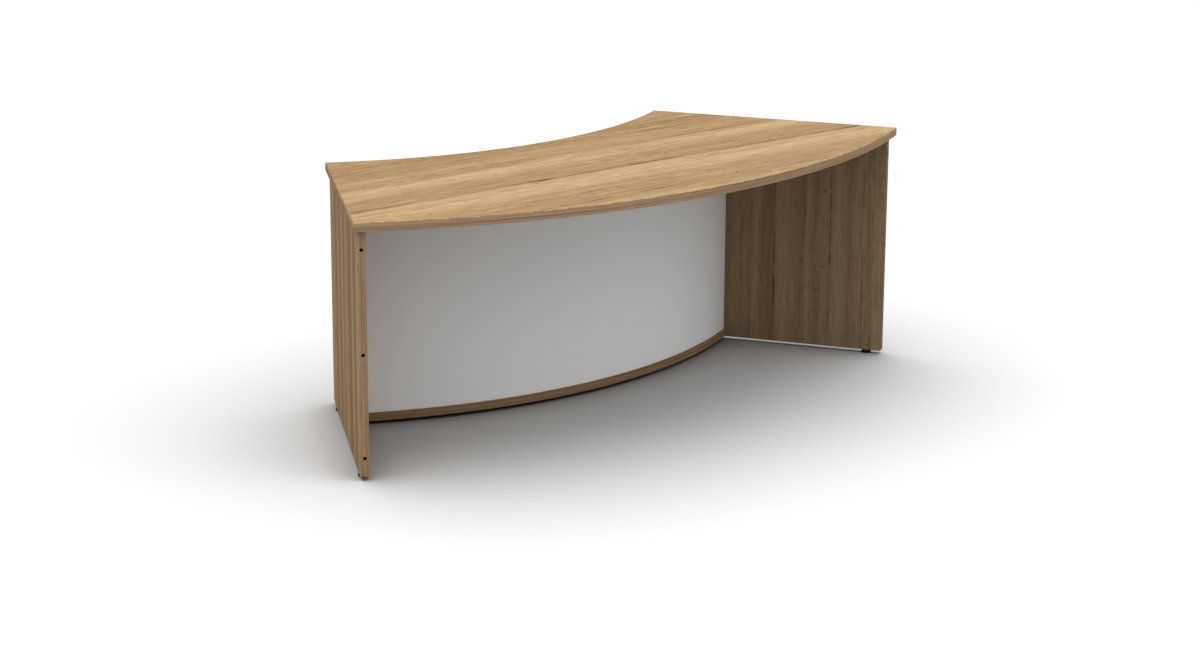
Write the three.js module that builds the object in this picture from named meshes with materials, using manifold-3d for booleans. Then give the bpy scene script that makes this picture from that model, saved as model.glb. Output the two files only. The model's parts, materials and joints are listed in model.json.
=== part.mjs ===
// Curved reception desk: a fan-shaped desktop on two end panels, with a curved front panel between them.
// Millimetres, +Z up, visitor side towards -Y. The origin is on the floor, under the middle of the desk's box.
import * as THREE from "three";
import { mergeVertices } from "three/addons/utils/BufferGeometryUtils.js";
import Module from "manifold-3d";

const wasm = await Module();
wasm.setup();

// Desktop
const frontRadius = 2090; // visitor edge, about the fan's centre
const topDepth = 800; // visitor edge to user edge
const sweepAngle = 60; // degrees between the two end edges
const deskHeight = 730;
const boardThickness = 25; // every oak board
const edgingThickness = 2; // plastic edging on every open board edge

// End panels
const endOverhang = 10; // desktop past each panel's outer face
const frontSetback = 20; // panel behind the desktop's front corner
const rearSetback = 20; // panel ahead of the desktop's rear corner
const floorGap = 11; // floor to the underside of panels and base rail

// Curved front panel and the two rails that hold it
const panelSetback = 542; // visitor edge to the panel's face
const panelThickness = 8;
const railLedge = 6; // rail ahead of the panel's face
const railWidth = 100;
const grooveDepth = 10;

// Threaded sleeves in the front edge of each end panel, for an added front
const sleeveDiameter = 10;
const sleeveBore = 6;
const sleeveLength = 16;
const sleeveRecess = 0.5; // sleeve below the edge's face
const sleeveInset = 54; // top and bottom sleeves from the panel's ends

// Levelling feet
const frontFootInset = 50; // from the panel's front edge
const rearFootInset = 78; // from the panel's rear edge
const footTravel = 10; // how far a foot screws out
const padDiameter = 30;
const padTopDiameter = 24;
const padHeight = 8;
const padEdge = 1.5; // chamfer round the sole
const padShoulder = 2; // height of the sloping top
const padSole = 2; // thickness under the stud's flange
const studDiameter = 8;
const flangeDiameter = 14;
const flangeHeight = 3;
const collarWidth = 13; // across the flats of the hexagon
const collarHeight = 2.4;
const footInsertDiameter = 12;
const footInsertLength = 25;

// Cam fittings
const camDiameter = 15;
const camDistance = 34; // joint face to the cam's axis
const camFloor = 5.5; // cam past the bolt's axis
const camCrossWidth = 1.6;
const camCrossLength = 8;
const camCrossDepth = 1.5;
const boltDiameter = 6;
const boltNeckDiameter = 4.4;
const boltHeadDiameter = 7;
const boltHeadHeight = 3;
const boltThreadLength = 11;
const frontCamInset = 150; // desktop fittings, from the desktop's front corner
const rearCamInset = 650;
const railCamSetback = 60; // rail fittings, from the rail's front edge

// Dowels and screws
const dowelDiameter = 8;
const dowelInPanel = 10;
const dowelInRail = 25;
const dowelChamfer = 1;
const railDowelSetback = 30; // from the rail's front edge
const screwDiameter = 4;
const screwLength = 40;
const screwHeadDiameter = 8;
const screwHeadHeight = 3;
const screwPoint = 6;
const screwNames = ["left", "middle", "right"];

// Fits
const glueLine = 0.3; // under edging, and between boards that meet end to end
const slotClearance = 0.3; // round the front panel in its grooves
const boreClearance = 0.3; // on the radius, round fixed hardware
const boltClearance = 1; // on the radius, round a cam bolt's shank
const threadClearance = 0.2; // on the radius, in threads
const swivelClearance = 0.3; // between a stud's flange and its pad
const overcut = 1; // cutters past an open face

// Facets
const arcSteps = 24; // on each half of a long arc
const roundSides = 16;
const boreSides = 12;

// Sizes that follow
const halfSweep = THREE.MathUtils.degToRad(sweepAngle / 2);
const rearRadius = frontRadius - topDepth;
const fanDepth = frontRadius - rearRadius * Math.cos(halfSweep);
const centreY = frontRadius - fanDepth / 2;
const topUnderside = deskHeight - boardThickness;
const panelMiddle = endOverhang + boardThickness / 2; // panel's mid-plane, from the desktop's end
const panelInner = endOverhang + boardThickness; // panel's inner face, from the desktop's end
const panelRear = topDepth - rearSetback; // from the desktop's front corner
const screenRadius = frontRadius - panelSetback;
const railFrontRadius = screenRadius + railLedge;
const railRearRadius = railFrontRadius - railWidth;
const baseRailTop = floorGap + boardThickness;
const topRailBottom = topUnderside - boardThickness;

// Finishes
const oak = new THREE.MeshStandardMaterial({ color: 0xc4a077, roughness: 0.55, metalness: 0 });
const oakEdging = new THREE.MeshStandardMaterial({ color: 0xb8946a, roughness: 0.5, metalness: 0 });
const whiteLaminate = new THREE.MeshStandardMaterial({ color: 0xe8e8e6, roughness: 0.6, metalness: 0 });
const blackNylon = new THREE.MeshStandardMaterial({ color: 0x141414, roughness: 0.6, metalness: 0 });
const zincPlate = new THREE.MeshStandardMaterial({ color: 0xb9bcc0, roughness: 0.35, metalness: 1 });
const beech = new THREE.MeshStandardMaterial({ color: 0xd9ba8c, roughness: 0.7, metalness: 0 });

// Solids for cutting and joining

function toSolid(geometry) {
  const bare = geometry.clone();
  bare.deleteAttribute("normal");
  bare.deleteAttribute("uv");
  const merged = mergeVertices(bare, 1e-4);
  const vertProperties = new Float32Array(merged.attributes.position.array);
  const triVerts = new Uint32Array(merged.index.array);
  return new wasm.Manifold(new wasm.Mesh({ numProp: 3, vertProperties, triVerts }));
}

function toGeometry(solid) {
  const mesh = solid.getMesh();
  const geometry = new THREE.BufferGeometry();
  geometry.setAttribute("position", new THREE.BufferAttribute(mesh.vertProperties, 3));
  geometry.setIndex(new THREE.BufferAttribute(mesh.triVerts, 1));
  geometry.computeVertexNormals();
  return geometry;
}

function cut(geometry, tools) {
  return toGeometry(tools.reduce((solid, tool) => solid.subtract(toSolid(tool)), toSolid(geometry)));
}

function join(first, second) {
  return toGeometry(toSolid(first).add(toSolid(second)));
}

// Basic shapes

// Slab between two arcs about the fan's centre, its ends parallel to the desktop's ends and set in from them
function sector(innerRadius, outerRadius, endInset, bottom, top) {
  const reach = (radius) => halfSweep - Math.asin(endInset / radius);
  const front = -Math.PI / 2;
  const shape = new THREE.Shape();
  shape.absarc(0, 0, outerRadius, front - reach(outerRadius), front + reach(outerRadius), false);
  shape.absarc(0, 0, innerRadius, front + reach(innerRadius), front - reach(innerRadius), true);
  const settings = { depth: top - bottom, bevelEnabled: false, curveSegments: arcSteps };
  return new THREE.ExtrudeGeometry(shape, settings).translate(0, 0, bottom);
}

function block(from, to) {
  const size = new THREE.Vector3().subVectors(to, from);
  const middle = new THREE.Vector3().addVectors(from, to).multiplyScalar(0.5);
  const geometry = new THREE.BoxGeometry(Math.abs(size.x), Math.abs(size.y), Math.abs(size.z));
  return geometry.translate(middle.x, middle.y, middle.z);
}

function rod(diameter, from, to, sides = boreSides) {
  const axis = new THREE.Vector3().subVectors(to, from);
  const length = axis.length();
  const turn = new THREE.Quaternion().setFromUnitVectors(new THREE.Vector3(0, 1, 0), axis.normalize());
  const geometry = new THREE.CylinderGeometry(diameter / 2, diameter / 2, length, sides);
  return geometry.translate(0, length / 2, 0).applyQuaternion(turn).translate(from.x, from.y, from.z);
}

// Turned piece about +Z, from [radius, height] pairs that run up the outside
function turned(profile, sides = roundSides) {
  const points = profile.map(([radius, height]) => new THREE.Vector2(radius, height));
  return new THREE.LatheGeometry(points, sides).rotateX(Math.PI / 2);
}

function at(x, y, z) {
  return new THREE.Vector3(x, y, z);
}

// Groups: the fan is set out from its centre, and each end has a turned frame.
// In an end's frame the desktop's end is the plane x = 0 and the front corner is at y = -frontRadius.

const desk = new THREE.Group();
const fan = new THREE.Group();
fan.position.y = centreY;
desk.add(fan);

function addPiece(parent, name, geometry, material) {
  const mesh = new THREE.Mesh(geometry, material);
  mesh.name = name;
  parent.add(mesh);
  return mesh;
}

class DeskEnd {
  constructor(name, side) {
    this.name = name;
    this.side = side;
    this.group = new THREE.Group();
    this.group.rotation.z = side * halfSweep;
    this.group.updateMatrix();
    fan.add(this.group);
  }

  // Point set in from the desktop's end and back from its front corner
  point(inset, back, height) {
    return at(-this.side * inset, back - frontRadius, height);
  }

  // Direction from the end towards the middle of the desk
  get inward() {
    return at(-this.side, 0, 0);
  }

  inFan(geometry) {
    return geometry.clone().applyMatrix4(this.group.matrix);
  }
}

const ends = [new DeskEnd("left", -1), new DeskEnd("right", 1)];

// Cam fitting, in its own frame: the joint is the plane z = 0, the bolt's shank runs along +Z into the clamped
// board, its thread along -Z into the other one, and the cam lies in the clamped board's face towards +X.
const camFace = boardThickness / 2;
const boltTip = camDistance + boltHeadHeight / 2;

function makeCam() {
  const body = rod(camDiameter, at(-camFloor, 0, camDistance), at(camFace, 0, camDistance));
  const slotDiameter = boltHeadDiameter + 2 * boreClearance;
  const slot = rod(slotDiameter, at(0, 0, 0), at(0, 0, boltTip + boreClearance));
  const crossFloor = camFace - camCrossDepth;
  const crossBar = (width, length) =>
    block(
      at(crossFloor, -width / 2, camDistance - length / 2),
      at(camFace + overcut, width / 2, camDistance + length / 2),
    );
  return cut(body, [slot, crossBar(camCrossWidth, camCrossLength), crossBar(camCrossLength, camCrossWidth)]);
}

function makeCamBolt() {
  const neckStart = boltTip - 2 * boltHeadHeight;
  return turned(
    [
      [0, -boltThreadLength],
      [boltDiameter / 2, -boltThreadLength],
      [boltDiameter / 2, neckStart],
      [boltNeckDiameter / 2, neckStart],
      [boltNeckDiameter / 2, boltTip - boltHeadHeight],
      [boltHeadDiameter / 2, boltTip - boltHeadHeight],
      [boltHeadDiameter / 2, boltTip],
      [0, boltTip],
    ],
    boreSides,
  );
}

class CamFitting {
  constructor(end, name, origin, boltDirection, faceDirection) {
    this.end = end;
    const across = new THREE.Vector3().crossVectors(boltDirection, faceDirection);
    const group = new THREE.Group();
    group.setRotationFromMatrix(new THREE.Matrix4().makeBasis(faceDirection, across, boltDirection));
    group.position.copy(origin);
    group.updateMatrix();
    end.group.add(group);
    this.matrix = group.matrix;
    addPiece(group, `${name}_cam`, makeCam(), zincPlate);
    addPiece(group, `${name}_cam_bolt`, makeCamBolt(), zincPlate);
  }

  // Holes in the board that holds the cam
  clampedCuts() {
    const camBore = rod(
      camDiameter + 2 * boreClearance,
      at(-camFloor - boreClearance, 0, camDistance),
      at(camFace + overcut, 0, camDistance),
    );
    const boltBore = rod(boltDiameter + 2 * boltClearance, at(0, 0, -overcut), at(0, 0, camDistance));
    return [camBore, boltBore].map((tool) => tool.applyMatrix4(this.matrix));
  }

  // Hole in the board that holds the bolt's thread
  threadCuts() {
    const bottom = -boltThreadLength - threadClearance;
    const bore = rod(boltDiameter + 2 * threadClearance, at(0, 0, bottom), at(0, 0, overcut));
    return [bore.applyMatrix4(this.matrix)];
  }
}

// Cuts collected for each board before it is made
const desktopCuts = [];
const baseRailCuts = [];
const topRailCuts = [];

// Levelling foot about +Z, its sole on z = 0
const flangeBottom = padSole + swivelClearance;
const flangeTop = flangeBottom + flangeHeight;
const chamberTop = flangeTop + swivelClearance;
const collarBottom = padHeight + swivelClearance;
const collarTop = collarBottom + collarHeight;
const footInsertTop = floorGap + footInsertLength;
const studTop = footInsertTop + footTravel;

function makePad() {
  const chamberRadius = flangeDiameter / 2 + swivelClearance;
  const mouthRadius = studDiameter / 2 + swivelClearance;
  return turned([
    [0, 0],
    [padDiameter / 2 - padEdge, 0],
    [padDiameter / 2, padEdge],
    [padDiameter / 2, padHeight - padShoulder],
    [padTopDiameter / 2, padHeight],
    [mouthRadius, padHeight],
    [mouthRadius, chamberTop],
    [chamberRadius, chamberTop],
    [chamberRadius, padSole],
    [0, padSole],
  ]);
}

function makeStud() {
  const shaft = turned([
    [0, flangeBottom],
    [flangeDiameter / 2, flangeBottom],
    [flangeDiameter / 2, flangeTop],
    [studDiameter / 2, flangeTop],
    [studDiameter / 2, studTop],
    [0, studTop],
  ]);
  const collarDiameter = collarWidth / Math.cos(Math.PI / 6);
  return join(shaft, rod(collarDiameter, at(0, 0, collarBottom), at(0, 0, collarTop), 6));
}

function makeFootInsert() {
  const bore = studDiameter / 2 + threadClearance;
  const outer = footInsertDiameter / 2;
  return turned([
    [bore, floorGap],
    [outer, floorGap],
    [outer, footInsertTop],
    [bore, footInsertTop],
    [bore, floorGap],
  ]);
}

function addFoot(end, name, back) {
  const foot = new THREE.Group();
  foot.position.copy(end.point(panelMiddle, back, 0));
  end.group.add(foot);
  addPiece(foot, `${name}_foot_pad`, makePad(), blackNylon);
  addPiece(foot, `${name}_foot_stud`, makeStud(), zincPlate);
  addPiece(foot, `${name}_foot_insert`, makeFootInsert(), zincPlate);
  const hole = (diameter, top) =>
    rod(diameter, end.point(panelMiddle, back, floorGap - overcut), end.point(panelMiddle, back, top), roundSides);
  return [
    hole(footInsertDiameter + 2 * boreClearance, footInsertTop + boreClearance),
    hole(studDiameter + 2 * boreClearance, studTop + boreClearance),
  ];
}

// Threaded sleeve set into a panel's front edge
function addSleeve(end, height, name) {
  const mouth = end.point(panelMiddle, frontSetback + sleeveRecess, height);
  const bottom = end.point(panelMiddle, frontSetback + sleeveRecess + sleeveLength, height);
  const sleeve = new THREE.Group();
  sleeve.position.copy(mouth);
  sleeve.rotation.x = -Math.PI / 2;
  end.group.add(sleeve);
  const ring = turned(
    [
      [sleeveBore / 2, 0],
      [sleeveDiameter / 2, 0],
      [sleeveDiameter / 2, sleeveLength],
      [sleeveBore / 2, sleeveLength],
      [sleeveBore / 2, 0],
    ],
    boreSides,
  );
  addPiece(sleeve, `${end.name}_sleeve_${name}`, ring, blackNylon);
  const holeStart = mouth.clone().setY(mouth.y - sleeveRecess - overcut);
  const holeEnd = bottom.clone().setY(bottom.y + boreClearance);
  return rod(sleeveDiameter + 2 * boreClearance, holeStart, holeEnd);
}

// Dowel from a panel into the end of a rail, in the end's frame
function addDowel(end, railName, height) {
  const back = frontRadius - railFrontRadius + railDowelSetback;
  const dowel = new THREE.Group();
  dowel.position.copy(end.point(panelInner, back, height));
  dowel.rotation.y = (-end.side * Math.PI) / 2;
  end.group.add(dowel);
  const pin = turned(
    [
      [0, -dowelInPanel],
      [dowelDiameter / 2 - dowelChamfer, -dowelInPanel],
      [dowelDiameter / 2, dowelChamfer - dowelInPanel],
      [dowelDiameter / 2, dowelInRail - dowelChamfer],
      [dowelDiameter / 2 - dowelChamfer, dowelInRail],
      [0, dowelInRail],
    ],
    boreSides,
  );
  addPiece(dowel, `${end.name}_${railName}_dowel`, pin, beech);
  const holeStart = end.point(panelInner - dowelInPanel - boreClearance, back, height);
  const holeEnd = end.point(panelInner + dowelInRail + boreClearance, back, height);
  return rod(dowelDiameter + 2 * boreClearance, holeStart, holeEnd);
}

// One end panel with its edging, feet, sleeves and fittings
function buildEnd(end) {
  const down = at(0, 0, -1);
  const panelCuts = [];
  panelCuts.push(...addFoot(end, `${end.name}_front`, frontSetback + frontFootInset));
  panelCuts.push(...addFoot(end, `${end.name}_rear`, panelRear - rearFootInset));

  const sleeveHeights = {
    bottom: floorGap + sleeveInset,
    middle: (floorGap + topUnderside) / 2,
    top: topUnderside - sleeveInset,
  };
  const sleeveHoles = Object.entries(sleeveHeights).map(([name, height]) => addSleeve(end, height, name));
  panelCuts.push(...sleeveHoles);

  for (const [place, back] of Object.entries({ front: frontCamInset, rear: rearCamInset })) {
    const origin = end.point(panelMiddle, back, topUnderside);
    const fitting = new CamFitting(end, `${end.name}_${place}_desktop`, origin, down, end.inward);
    panelCuts.push(...fitting.clampedCuts());
    desktopCuts.push(...fitting.threadCuts().map((tool) => end.inFan(tool)));
  }

  const rails = [
    { name: "base_rail", bottom: floorGap, cuts: baseRailCuts },
    { name: "top_rail", bottom: topRailBottom, cuts: topRailCuts },
  ];
  for (const rail of rails) {
    const height = rail.bottom + boardThickness / 2;
    const back = frontRadius - railFrontRadius + railCamSetback;
    const origin = end.point(panelInner, back, height);
    const fitting = new CamFitting(end, `${end.name}_${rail.name}`, origin, end.inward, down);
    const dowelHole = addDowel(end, rail.name, height);
    panelCuts.push(...fitting.threadCuts(), dowelHole);
    rail.cuts.push(...fitting.clampedCuts().map((tool) => end.inFan(tool)), end.inFan(dowelHole));
  }

  // The board and its two edgings, along the panel from front to rear
  const slab = (start, finish) =>
    block(end.point(endOverhang, start, floorGap), end.point(panelInner, finish, topUnderside));
  const boardFront = frontSetback + edgingThickness + glueLine;
  const boardRear = panelRear - edgingThickness - glueLine;
  addPiece(end.group, `${end.name}_end_panel`, cut(slab(boardFront, boardRear), panelCuts), oak);
  const frontEdging = cut(slab(frontSetback, frontSetback + edgingThickness), sleeveHoles);
  addPiece(end.group, `${end.name}_panel_front_edging`, frontEdging, oakEdging);
  const rearEdging = slab(panelRear - edgingThickness, panelRear);
  addPiece(end.group, `${end.name}_panel_rear_edging`, rearEdging, oakEdging);

  // Edging on the desktop's end, between the two curved edgings
  const curvedEdging = edgingThickness + glueLine;
  const strip = block(
    end.point(0, curvedEdging, topUnderside),
    end.point(edgingThickness, topDepth - curvedEdging, deskHeight),
  );
  addPiece(end.group, `desktop_${end.name}_edging`, strip, oakEdging);
}

ends.forEach(buildEnd);

// Screws up through the top rail into the desktop
const screwRadius = railFrontRadius - railCamSetback;
const screwStep = (2 * halfSweep) / screwNames.length;
screwNames.forEach((name, index) => {
  const screw = new THREE.Group();
  const angle = (index - (screwNames.length - 1) / 2) * screwStep;
  screw.position.set(screwRadius * Math.sin(angle), -screwRadius * Math.cos(angle), topRailBottom);
  screw.updateMatrix();
  fan.add(screw);
  const profile = (clearance) => [
    [0, -clearance],
    [screwHeadDiameter / 2 + clearance, -clearance],
    [screwDiameter / 2 + clearance, screwHeadHeight],
    [screwDiameter / 2 + clearance, screwLength - screwPoint],
    [0, screwLength + clearance],
  ];
  addPiece(screw, `top_rail_screw_${name}`, turned(profile(0), boreSides), zincPlate);
  const hole = turned(profile(boreClearance), boreSides).applyMatrix4(screw.matrix);
  topRailCuts.push(hole);
  desktopCuts.push(hole);
});

// Desktop board with its curved edgings
const underEdging = edgingThickness + glueLine;
const desktopBoard = sector(
  rearRadius + underEdging,
  frontRadius - underEdging,
  underEdging,
  topUnderside,
  deskHeight,
);
addPiece(fan, "desktop_board", cut(desktopBoard, desktopCuts), oak);

function addCurvedEdging(name, innerRadius, endInset, bottom) {
  const strip = sector(innerRadius, innerRadius + edgingThickness, endInset, bottom, bottom + boardThickness);
  addPiece(fan, name, strip, oakEdging);
}

addCurvedEdging("desktop_front_edging", frontRadius - edgingThickness, 0, topUnderside);
addCurvedEdging("desktop_rear_edging", rearRadius, 0, topUnderside);

// Curved front panel, let into a groove in each rail
const railInset = panelInner + glueLine;
const screenBottom = baseRailTop - grooveDepth + slotClearance;
const screenTop = topRailBottom + grooveDepth - slotClearance;
const screen = sector(screenRadius - panelThickness, screenRadius, railInset, screenBottom, screenTop);
addPiece(fan, "curved_front_panel", screen, whiteLaminate);

function addRail(name, bottom, grooveBottom, cuts) {
  const board = sector(
    railRearRadius + underEdging,
    railFrontRadius - underEdging,
    railInset,
    bottom,
    bottom + boardThickness,
  );
  const groove = sector(
    screenRadius - panelThickness - slotClearance,
    screenRadius + slotClearance,
    0,
    grooveBottom,
    grooveBottom + grooveDepth + overcut,
  );
  addPiece(fan, name, cut(board, [groove, ...cuts]), oak);
  addCurvedEdging(`${name}_front_edging`, railFrontRadius - edgingThickness, railInset, bottom);
  addCurvedEdging(`${name}_rear_edging`, railRearRadius, railInset, bottom);
}

addRail("base_rail", floorGap, baseRailTop - grooveDepth, baseRailCuts);
addRail("top_rail", topRailBottom, topRailBottom - overcut, topRailCuts);

export default desk;
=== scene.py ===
import json
import math

import bmesh
import bpy
from mathutils import Euler, Matrix, Vector

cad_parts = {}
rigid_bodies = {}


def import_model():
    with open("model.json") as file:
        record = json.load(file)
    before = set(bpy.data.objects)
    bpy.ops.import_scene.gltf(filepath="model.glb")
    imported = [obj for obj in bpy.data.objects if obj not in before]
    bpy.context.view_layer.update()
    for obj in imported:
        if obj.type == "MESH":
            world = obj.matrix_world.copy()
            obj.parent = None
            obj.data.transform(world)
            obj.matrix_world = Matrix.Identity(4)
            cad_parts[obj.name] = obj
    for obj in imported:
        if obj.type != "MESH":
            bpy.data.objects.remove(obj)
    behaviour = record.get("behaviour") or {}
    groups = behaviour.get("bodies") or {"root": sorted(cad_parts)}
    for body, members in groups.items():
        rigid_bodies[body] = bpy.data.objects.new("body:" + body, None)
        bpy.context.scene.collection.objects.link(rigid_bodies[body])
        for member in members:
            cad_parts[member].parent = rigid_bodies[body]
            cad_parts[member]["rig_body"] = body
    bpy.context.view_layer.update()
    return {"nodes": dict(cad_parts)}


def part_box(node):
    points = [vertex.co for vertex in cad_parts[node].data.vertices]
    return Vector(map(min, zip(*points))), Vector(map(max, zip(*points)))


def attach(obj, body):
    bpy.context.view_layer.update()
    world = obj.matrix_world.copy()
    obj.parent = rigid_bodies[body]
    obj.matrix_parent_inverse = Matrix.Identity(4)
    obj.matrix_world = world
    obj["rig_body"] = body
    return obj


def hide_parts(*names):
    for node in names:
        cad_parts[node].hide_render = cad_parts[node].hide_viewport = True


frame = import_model()  # metres, floor at z = 0, visitors stand on the -Y side
print("frame loaded:", len(frame["nodes"]), "nodes")

mm = 0.001
seam = 0.005 * mm  # points closer than this become one
near = 0.1 * mm  # places closer than this count as the same
sides = {"left": -1, "right": 1}
sideways = Vector((1, 0, 0))
backward = Vector((0, 1, 0))
upright = Vector((0, 0, 1))

# Sizes that several pieces share
desk = {
    "halfSweep": math.radians(30),  # each end edge, from the middle line
    "topDepth": 800 * mm,
    "board": 25 * mm,
    "edging": 2 * mm,
    "glueLine": 0.3 * mm,
    "overhang": 10 * mm,  # desktop past an end panel's outer face
    "frontSetback": 20 * mm,  # end panel behind the desktop's front corner
    "rearSetback": 20 * mm,
    "floorGap": 11 * mm,
    "arcSteps": 120,
    "holeFacets": 32,
    "threadFacets": 24,
}

topLow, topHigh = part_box("desktop_front_edging")
frontRadius = (topHigh.x - topLow.x) / 2 / math.sin(desk["halfSweep"])
rearRadius = frontRadius - desk["topDepth"]
fanCentre = Vector((0, topLow.y + frontRadius, 0))
topFace = topHigh.z
underTop = topLow.z
panelMiddle = desk["overhang"] + desk["board"] / 2
panelInner = desk["overhang"] + desk["board"]
panelRear = desk["topDepth"] - desk["rearSetback"]
underEdging = desk["edging"] + desk["glueLine"]

# Curved front panel and the two rails that hold it
screen = {"setback": 542 * mm, "thickness": 8 * mm, "ledge": 6 * mm, "railWidth": 100 * mm, "groove": 10 * mm}
screenRadius = frontRadius - screen["setback"]
railOuter = screenRadius + screen["ledge"]
railInner = railOuter - screen["railWidth"]
railInset = panelInner + desk["glueLine"]


# Places

def fanPoint(angle, radius, height):
    return fanCentre + Vector((radius * math.sin(angle), -radius * math.cos(angle), height))


def fanRadius(point):
    return math.hypot(point.x - fanCentre.x, point.y - fanCentre.y)


def endPlace(side):  # an end's own frame: desktop's end at x = 0, fan's centre at y = 0
    return Matrix.Translation(fanCentre) @ Matrix.Rotation(side * desk["halfSweep"], 4, "Z")


def endPoint(side, inset, back, height):  # in that frame, from the desktop's end and front corner
    return Vector((-side * inset, back - frontRadius, height))


def onAxis(x, z):  # in a fitting's own frame
    return Vector((x, 0, z))


# Modelling, as by hand

def begin(add, scale=(1, 1, 1), **settings):  # a primitive alone in edit mode, its place in its mesh
    bpy.ops.object.select_all(action="DESELECT")
    add(**settings)
    piece = bpy.context.object
    piece.scale = scale
    bpy.ops.object.transform_apply(location=True, rotation=True, scale=True)
    bpy.ops.object.mode_set(mode="EDIT")
    bpy.ops.mesh.select_mode(type="VERT")
    return piece


def pick(kind, test):  # VERT, EDGE or FACE, chosen by place
    mesh = bmesh.from_edit_mesh(bpy.context.object.data)
    bpy.ops.mesh.select_mode(type=kind)
    bpy.ops.mesh.select_all(action="DESELECT")
    for item in {"VERT": mesh.verts, "EDGE": mesh.edges, "FACE": mesh.faces}[kind]:
        if test(item):
            item.select_set(True)
    mesh.select_flush_mode()
    bmesh.update_edit_mesh(bpy.context.object.data)


def cutAway(point, normal):  # removes what lies past the plane and closes the cut
    bpy.ops.mesh.select_all(action="SELECT")
    bpy.ops.mesh.bisect(plane_co=point, plane_no=normal, use_fill=True, clear_outer=True)


def closeUp():  # merges seams, turns faces outwards and leaves edit mode
    bpy.ops.mesh.select_all(action="SELECT")
    bpy.ops.mesh.remove_doubles(threshold=seam)
    bpy.ops.mesh.normals_make_consistent(inside=False)
    bpy.ops.object.mode_set(mode="OBJECT")


def soleActive(piece):
    bpy.ops.object.select_all(action="DESELECT")
    piece.select_set(True)
    bpy.context.view_layer.objects.active = piece


def placed(piece, place):  # moves the mesh and leaves the object at the origin
    soleActive(piece)
    piece.matrix_world = place
    bpy.ops.object.transform_apply(location=True, rotation=True, scale=True)
    return piece


def copyOf(piece):
    twin = piece.copy()
    twin.data = piece.data.copy()
    bpy.context.scene.collection.objects.link(twin)
    return twin


def applyModifier(piece, kind, **settings):
    soleActive(piece)
    modifier = piece.modifiers.new("shaping", kind)
    for name, value in settings.items():
        setattr(modifier, name, value)
    bpy.ops.object.modifier_apply(modifier=modifier.name)


def roundEdges(piece, width):
    sharp = math.radians(35)
    applyModifier(piece, "BEVEL", width=width, segments=2, limit_method="ANGLE", angle_limit=sharp)


def combine(piece, others, operation):  # DIFFERENCE carves, UNION welds
    for other in others:
        applyModifier(piece, "BOOLEAN", operation=operation, solver="EXACT", object=other)
        bpy.data.objects.remove(other)
    bpy.ops.object.mode_set(mode="EDIT")
    closeUp()


def beginBlock(start, stop):  # stays in edit mode
    return begin(
        bpy.ops.mesh.primitive_cube_add, [abs(s) for s in stop - start], size=1, location=(start + stop) / 2,
    )


def blockBetween(start, stop):
    block = beginBlock(start, stop)
    bpy.ops.object.mode_set(mode="OBJECT")
    return block


def rodBetween(start, stop, radius, facets=desk["holeFacets"]):
    along = stop - start
    rod = begin(
        bpy.ops.mesh.primitive_cylinder_add,
        vertices=facets,
        radius=radius,
        depth=along.length,
        location=(start + stop) / 2,
        rotation=along.to_track_quat("Z", "Y").to_euler(),
    )
    bpy.ops.object.mode_set(mode="OBJECT")
    return rod


def drawProfile(points):  # one vertex, extruded along [radius, height] points in the XZ plane
    piece = begin(bpy.ops.mesh.primitive_plane_add, size=mm)
    bpy.ops.mesh.select_all(action="SELECT")
    bpy.ops.mesh.merge(type="CENTER")
    places = [onAxis(*point) for point in points]
    bpy.ops.transform.translate(value=places[0])
    for last, place in zip(places, places[1:]):
        bpy.ops.mesh.extrude_vertices_move(TRANSFORM_OT_translate={"value": place - last})
    return piece


def turnedPiece(points, facets=desk["holeFacets"]):
    piece = drawProfile(points)
    bpy.ops.mesh.select_all(action="SELECT")
    bpy.ops.mesh.spin(steps=facets, angle=2 * math.pi, center=(0, 0, 0), axis=upright)
    closeUp()
    return piece


def threadedRod(thread, bottom, top):  # one ridge, wound up a right-handed helix and cut square at both ends
    pitch = thread["pitch"]
    start = bottom - 2 * pitch
    turns = math.ceil((top - bottom) / pitch) + 4  # two to spare at each end
    piece = drawProfile((
        (thread["root"], start), (thread["crest"], start + pitch / 2), (thread["root"], start + pitch),
    ))
    bpy.ops.object.mode_set(mode="OBJECT")
    applyModifier(
        piece, "SCREW", angle=2 * math.pi, screw_offset=pitch, iterations=turns, steps=desk["threadFacets"],
        render_steps=desk["threadFacets"], use_merge_vertices=True, merge_threshold=seam,
    )
    bpy.ops.object.mode_set(mode="EDIT")
    cutAway(onAxis(0, top), upright)
    cutAway(onAxis(0, bottom), -upright)
    closeUp()
    return piece


def finishPiece(piece, prefix, node, finish, place=Matrix()):
    placed(piece, place)
    bpy.ops.object.shade_smooth_by_angle(angle=math.radians(25))
    piece.name = piece.data.name = f"{prefix}_{node}"
    piece.data.materials.clear()
    piece.data.materials.append(finishes[finish])
    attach(piece, frame["nodes"][node]["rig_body"])
    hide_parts(node)


def placeCopies(model, finish, places, ending=""):  # places: a node's name, without its ending, to matrix
    for name, place in places.items():
        finishPiece(copyOf(model), finish, name + ending, finish, place)
    bpy.data.objects.remove(model)


# Node building

def linear(hexColour):
    shares = [int(hexColour[i:i + 2], 16) / 255 for i in (1, 3, 5)]
    return [s / 12.92 if s <= 0.04045 else ((s + 0.055) / 1.055) ** 2.4 for s in shares] + [1]


def setInputs(tree, node, inputs):  # another node's socket is linked, a constant is set
    for socket, value in inputs.items():
        if isinstance(value, bpy.types.NodeSocket):
            tree.links.new(value, node.inputs[socket])
        else:
            node.inputs[socket].default_value = value


def addNode(tree, kind, inputs=None, stops=(), **settings):
    node = tree.nodes.new("ShaderNode" + kind)
    for name, value in settings.items():
        setattr(node, name, value)
    setInputs(tree, node, inputs or {})
    for index, (place, colour) in enumerate(stops):
        ramp = node.color_ramp.elements
        stop = ramp[index] if index < 2 else ramp.new(place)
        stop.position = place
        stop.color = colour
    return node


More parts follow.
